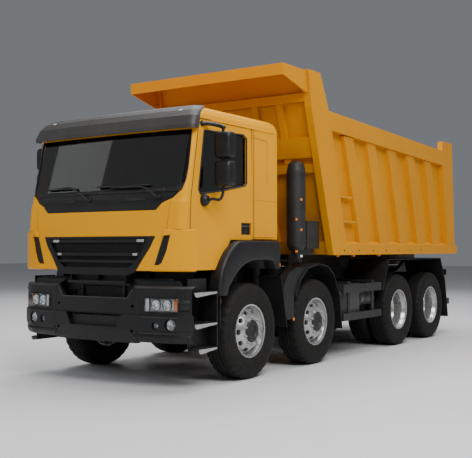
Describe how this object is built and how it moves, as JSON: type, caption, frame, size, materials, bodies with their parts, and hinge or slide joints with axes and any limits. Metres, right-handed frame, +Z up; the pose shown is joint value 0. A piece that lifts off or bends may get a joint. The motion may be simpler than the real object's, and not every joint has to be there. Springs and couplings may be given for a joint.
{
  "type": "four-axle dump truck",
  "caption": "Yellow four-axle dump truck: tilting cab with swinging doors, ribbed tipping body with cab guard and top-hung tailgate, telescopic front hoist, steered and rolling wheels.",
  "frame": {"origin": "on the ground below the middle of the overall length, on the vehicle's centre plane", "axes": "+X forward along the truck, +Y to its left, +Z up"},
  "size_m": [7.94, 2.9, 3.7198],
  "materials": {
    "yellow_paint": "semi-gloss",
    "chassis_paint": "satin",
    "dark_plastic": "moulded, matte",
    "grey_trim": "moulded, matte",
    "glass": "clear, tinted",
    "lamp_lens": "clear lens over reflector",
    "tread_plate": "tread plate",
    "tank_metal": "satin",
    "interior_plastic": "grained",
    "seat_fabric": "woven",
    "hoist_steel": "ground tube",
    "tyre": "rubber",
    "wheel_paint": "silver paint"
  },
  "bodies": {
    "root": {"chassis_frame": "chassis_paint", "front_axle_beams": "chassis_paint", "drive_axles": "chassis_paint", "leaf_springs": "chassis_paint", "powertrain": "chassis_paint", "bumper": "dark_plastic", "lamps": "lamp_lens", "entry_steps": "tread_plate", "mudguards": "dark_plastic", "side_guards": "chassis_paint", "tanks": "tank_metal", "stacks": "dark_plastic", "rear_underrun": "chassis_paint"},
    "cab": {"cab_floor": "yellow_paint", "cab_rear_shell": "yellow_paint", "cab_roof": "yellow_paint", "cab_front_frame": "yellow_paint", "cab_front_panels": "yellow_paint", "cab_grille": "dark_plastic", "cab_cowl": "dark_plastic", "windscreen": "glass", "sun_visor": "grey_trim", "cab_arches": "grey_trim", "cab_dash": "interior_plastic", "cab_seats": "seat_fabric"},
    "door_left": {"door_left": "yellow_paint", "door_glass_left": "glass", "mirrors_left": "grey_trim"},
    "door_right": {"door_right": "yellow_paint", "door_glass_right": "glass", "mirrors_right": "grey_trim"},
    "dump_body": {"body_floor": "yellow_paint", "body_sides": "yellow_paint", "body_front_wall": "yellow_paint", "body_canopy": "yellow_paint"},
    "tailgate": {"tailgate": "yellow_paint"},
    "hoist_barrel": {"hoist_barrel": "hoist_steel"},
    "hoist_stage_1": {"hoist_stage_1": "hoist_steel"},
    "hoist_stage_2": {"hoist_stage_2": "hoist_steel"},
    "hoist_stage_3": {"hoist_stage_3": "hoist_steel"},
    "knuckle_front_left": {"knuckle_front_left": "chassis_paint"},
    "wheel_front_left": {"tyre_front_left": "tyre", "wheel_front_left": "wheel_paint"},
    "knuckle_front_right": {"knuckle_front_right": "chassis_paint"},
    "wheel_front_right": {"tyre_front_right": "tyre", "wheel_front_right": "wheel_paint"},
    "knuckle_second_left": {"knuckle_second_left": "chassis_paint"},
    "wheel_second_left": {"tyre_second_left": "tyre", "wheel_second_left": "wheel_paint"},
    "knuckle_second_right": {"knuckle_second_right": "chassis_paint"},
    "wheel_second_right": {"tyre_second_right": "tyre", "wheel_second_right": "wheel_paint"},
    "wheels_third_left": {"tyres_third_left": "tyre", "wheels_third_left": "wheel_paint"},
    "wheels_third_right": {"tyres_third_right": "tyre", "wheels_third_right": "wheel_paint"},
    "wheels_rear_left": {"tyres_rear_left": "tyre", "wheels_rear_left": "wheel_paint"},
    "wheels_rear_right": {"tyres_rear_right": "tyre", "wheels_rear_right": "wheel_paint"}
  },
  "joints": [
    {"name": "cab_tilt", "type": "hinge", "parent": "root", "child": "cab", "pos_m": [3.765, 0, 0.9], "axis": [0, 1, 0], "range_deg": [0, 50]},
    {"name": "door_left_swing", "type": "hinge", "parent": "cab", "child": "door_left", "pos_m": [3.747, 1.16, 1.9], "axis": [0, 0, -1], "range_deg": [0, 68]},
    {"name": "door_right_swing", "type": "hinge", "parent": "cab", "child": "door_right", "pos_m": [3.747, -1.16, 1.9], "axis": [0, 0, 1], "range_deg": [0, 68]},
    {"name": "body_tip", "type": "hinge", "parent": "root", "child": "dump_body", "pos_m": [-3.615, 0, 1.25], "axis": [0, -1, 0], "range_deg": [0, 45]},
    {"name": "gate_swing", "type": "hinge", "parent": "dump_body", "child": "tailgate", "pos_m": [-3.545, 0, 3.27], "axis": [0, 1, 0], "range_deg": [0, 60]},
    {"name": "hoist_lean", "type": "hinge", "parent": "root", "child": "hoist_barrel", "pos_m": [1.355, 0, 0.95], "axis": [0, -1, 0], "range_deg": [0, 29.52]},
    {"name": "hoist_slide_1", "type": "slide", "parent": "hoist_barrel", "child": "hoist_stage_1", "axis": [0.0533, 0, 0.9986], "range_m": [0, 1.2467]},
    {"name": "hoist_slide_2", "type": "slide", "parent": "hoist_stage_1", "child": "hoist_stage_2", "axis": [0.0533, 0, 0.9986], "range_m": [0, 1.2467]},
    {"name": "hoist_slide_3", "type": "slide", "parent": "hoist_stage_2", "child": "hoist_stage_3", "axis": [0.0533, 0, 0.9986], "range_m": [0, 1.2467]},
    {"name": "steer_front_left", "type": "hinge", "parent": "root", "child": "knuckle_front_left", "pos_m": [2.685, 0.868, 0.538], "axis": [0, 0, 1], "range_deg": [-35, 35]},
    {"name": "roll_front_left", "type": "hinge", "parent": "knuckle_front_left", "child": "wheel_front_left", "pos_m": [2.685, 1.077, 0.538], "axis": [0, 1, 0], "continuous": true},
    {"name": "steer_front_right", "type": "hinge", "parent": "root", "child": "knuckle_front_right", "pos_m": [2.685, -0.868, 0.538], "axis": [0, 0, 1], "range_deg": [-35, 35]},
    {"name": "roll_front_right", "type": "hinge", "parent": "knuckle_front_right", "child": "wheel_front_right", "pos_m": [2.685, -1.077, 0.538], "axis": [0, 1, 0], "continuous": true},
    {"name": "steer_second_left", "type": "hinge", "parent": "root", "child": "knuckle_second_left", "pos_m": [1.171, 0.868, 0.538], "axis": [0, 0, 1], "range_deg": [-25, 25]},
    {"name": "roll_second_left", "type": "hinge", "parent": "knuckle_second_left", "child": "wheel_second_left", "pos_m": [1.171, 1.077, 0.538], "axis": [0, 1, 0], "continuous": true},
    {"name": "steer_second_right", "type": "hinge", "parent": "root", "child": "knuckle_second_right", "pos_m": [1.171, -0.868, 0.538], "axis": [0, 0, 1], "range_deg": [-25, 25]},
    {"name": "roll_second_right", "type": "hinge", "parent": "knuckle_second_right", "child": "wheel_second_right", "pos_m": [1.171, -1.077, 0.538], "axis": [0, 1, 0], "continuous": true},
    {"name": "roll_third_left", "type": "hinge", "parent": "root", "child": "wheels_third_left", "pos_m": [-1.46, 0.902, 0.538], "axis": [0, 1, 0], "continuous": true},
    {"name": "roll_third_right", "type": "hinge", "parent": "root", "child": "wheels_third_right", "pos_m": [-1.46, -0.902, 0.538], "axis": [0, 1, 0], "continuous": true},
    {"name": "roll_rear_left", "type": "hinge", "parent": "root", "child": "wheels_rear_left", "pos_m": [-2.745, 0.902, 0.538], "axis": [0, 1, 0], "continuous": true},
    {"name": "roll_rear_right", "type": "hinge", "parent": "root", "child": "wheels_rear_right", "pos_m": [-2.745, -0.902, 0.538], "axis": [0, 1, 0], "continuous": true}
  ],
  "couplings": [
    {"joint": "hoist_lean", "follows": "body_tip", "ratio": 0.63376},
    {"joint": "hoist_slide_1", "follows": "body_tip", "m_per_rad": 1.581},
    {"joint": "hoist_slide_2", "follows": "body_tip", "m_per_rad": 1.581},
    {"joint": "hoist_slide_3", "follows": "body_tip", "m_per_rad": 1.581},
    {"joint": "steer_front_right", "follows": "steer_front_left", "ratio": 1},
    {"joint": "steer_second_left", "follows": "steer_front_left", "ratio": 0.68},
    {"joint": "steer_second_right", "follows": "steer_front_left", "ratio": 0.68}
  ]
}
